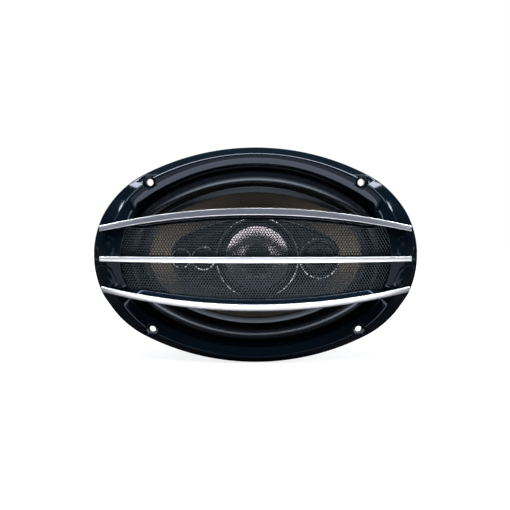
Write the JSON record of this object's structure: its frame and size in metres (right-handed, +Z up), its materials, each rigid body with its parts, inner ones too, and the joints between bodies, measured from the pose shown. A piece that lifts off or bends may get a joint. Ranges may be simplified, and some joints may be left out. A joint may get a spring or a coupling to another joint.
{
  "type": "coaxial car speaker",
  "caption": "Oval coaxial car speaker: tan cone under a pod of smaller drivers, behind a glossy navy oval grille frame with perforated steel mesh and silver trim bars.",
  "frame": {"origin": "middle of the four-screw pattern, on the mounting plane where the gasket meets the panel", "axes": "-Y is the front, where the grille faces; +X is right along the long side; +Z is up along the short side"},
  "size_m": [0.244, 0.1135, 0.164],
  "materials": {
    "navy_gloss": "glossy navy-black moulded plastic",
    "silver_plate": "bright silver plated plastic",
    "mesh_steel": "black painted perforated steel",
    "black_steel": "black powder coated pressed steel",
    "gasket_foam": "closed cell foam",
    "surround_rubber": "satin black butyl rubber",
    "cone_fibre": "woven tan fibre with a clear coat",
    "spider_cloth": "resin dipped cotton",
    "former_film": "amber film",
    "copper": "enamelled copper wire",
    "plated_steel": "zinc plated steel",
    "ferrite": "dark grey ferrite",
    "boot_rubber": "moulded black rubber",
    "pod_black": "satin black moulded plastic",
    "ring_gloss": "gloss black ring",
    "mid_film": "pearl coated film",
    "dome_film": "dark polymer film",
    "phenolic": "brown phenolic board",
    "terminal_tin": "tinned brass",
    "capacitor_sleeve": "shrink sleeve",
    "lead_sleeve": "insulated wire"
  },
  "bodies": {
    "frame": {"grille_frame": "navy_gloss", "grille_rails": "navy_gloss", "grille_mesh": "mesh_steel", "trim_bar_top": "silver_plate", "trim_bar_middle": "silver_plate", "trim_bar_bottom": "silver_plate", "basket": "black_steel", "mounting_gasket": "gasket_foam", "surround": "surround_rubber", "spider": "spider_cloth", "tinsel_leads": "copper", "top_plate": "plated_steel", "magnet": "ferrite", "back_plate": "plated_steel", "magnet_boot": "boot_rubber", "basket_rivets": "plated_steel", "centre_post": "plated_steel", "post_spacer": "pod_black", "post_washer": "plated_steel", "post_nut": "plated_steel", "pod_housing": "pod_black", "pod_back": "pod_black", "pod_screws": "plated_steel", "midrange_ring": "ring_gloss", "midrange_basket": "black_steel", "midrange_surround": "surround_rubber", "midrange_magnet": "ferrite", "midrange_yoke": "plated_steel", "tweeter_ring": "ring_gloss", "tweeter_magnet": "plated_steel", "inner_piezo_ring": "ring_gloss", "inner_piezo_body": "pod_black", "outer_piezo_ring": "ring_gloss", "outer_piezo_body": "pod_black", "terminal_board": "phenolic", "terminal_positive": "terminal_tin", "terminal_negative": "terminal_tin", "terminal_rivets": "plated_steel", "crossover_capacitor": "capacitor_sleeve", "pod_leads": "lead_sleeve"},
    "woofer": {"cone": "cone_fibre", "voice_coil_former": "former_film", "voice_coil": "copper"},
    "midrange": {"midrange_cone": "mid_film", "midrange_dust_cap": "dome_film", "midrange_coil": "copper"},
    "tweeter_diaphragm": {"tweeter_dome": "dome_film"},
    "inner_piezo_diaphragm": {"inner_piezo_dome": "dome_film"},
    "outer_piezo_diaphragm": {"outer_piezo_dome": "dome_film"}
  },
  "joints": [
    {"name": "woofer_travel", "type": "slide", "parent": "frame", "child": "woofer", "axis": [0, -1, 0], "range_m": [-0.005, 0.005], "stiffness_N_per_m": 2500, "deforming": ["surround", "spider", "tinsel_leads"]},
    {"name": "midrange_travel", "type": "slide", "parent": "frame", "child": "midrange", "axis": [0, -1, 0], "range_m": [-0.001, 0.001], "stiffness_N_per_m": 200, "deforming": ["midrange_surround"]},
    {"name": "tweeter_travel", "type": "slide", "parent": "frame", "child": "tweeter_diaphragm", "axis": [0, -1, 0], "range_m": [-0.0002, 0.0002], "stiffness_N_per_m": 5},
    {"name": "inner_piezo_travel", "type": "slide", "parent": "frame", "child": "inner_piezo_diaphragm", "axis": [0, -1, 0], "range_m": [-0.0001, 0.0001], "stiffness_N_per_m": 2},
    {"name": "outer_piezo_travel", "type": "slide", "parent": "frame", "child": "outer_piezo_diaphragm", "axis": [0, -1, 0], "range_m": [-0.0001, 0.0001], "stiffness_N_per_m": 2}
  ]
}
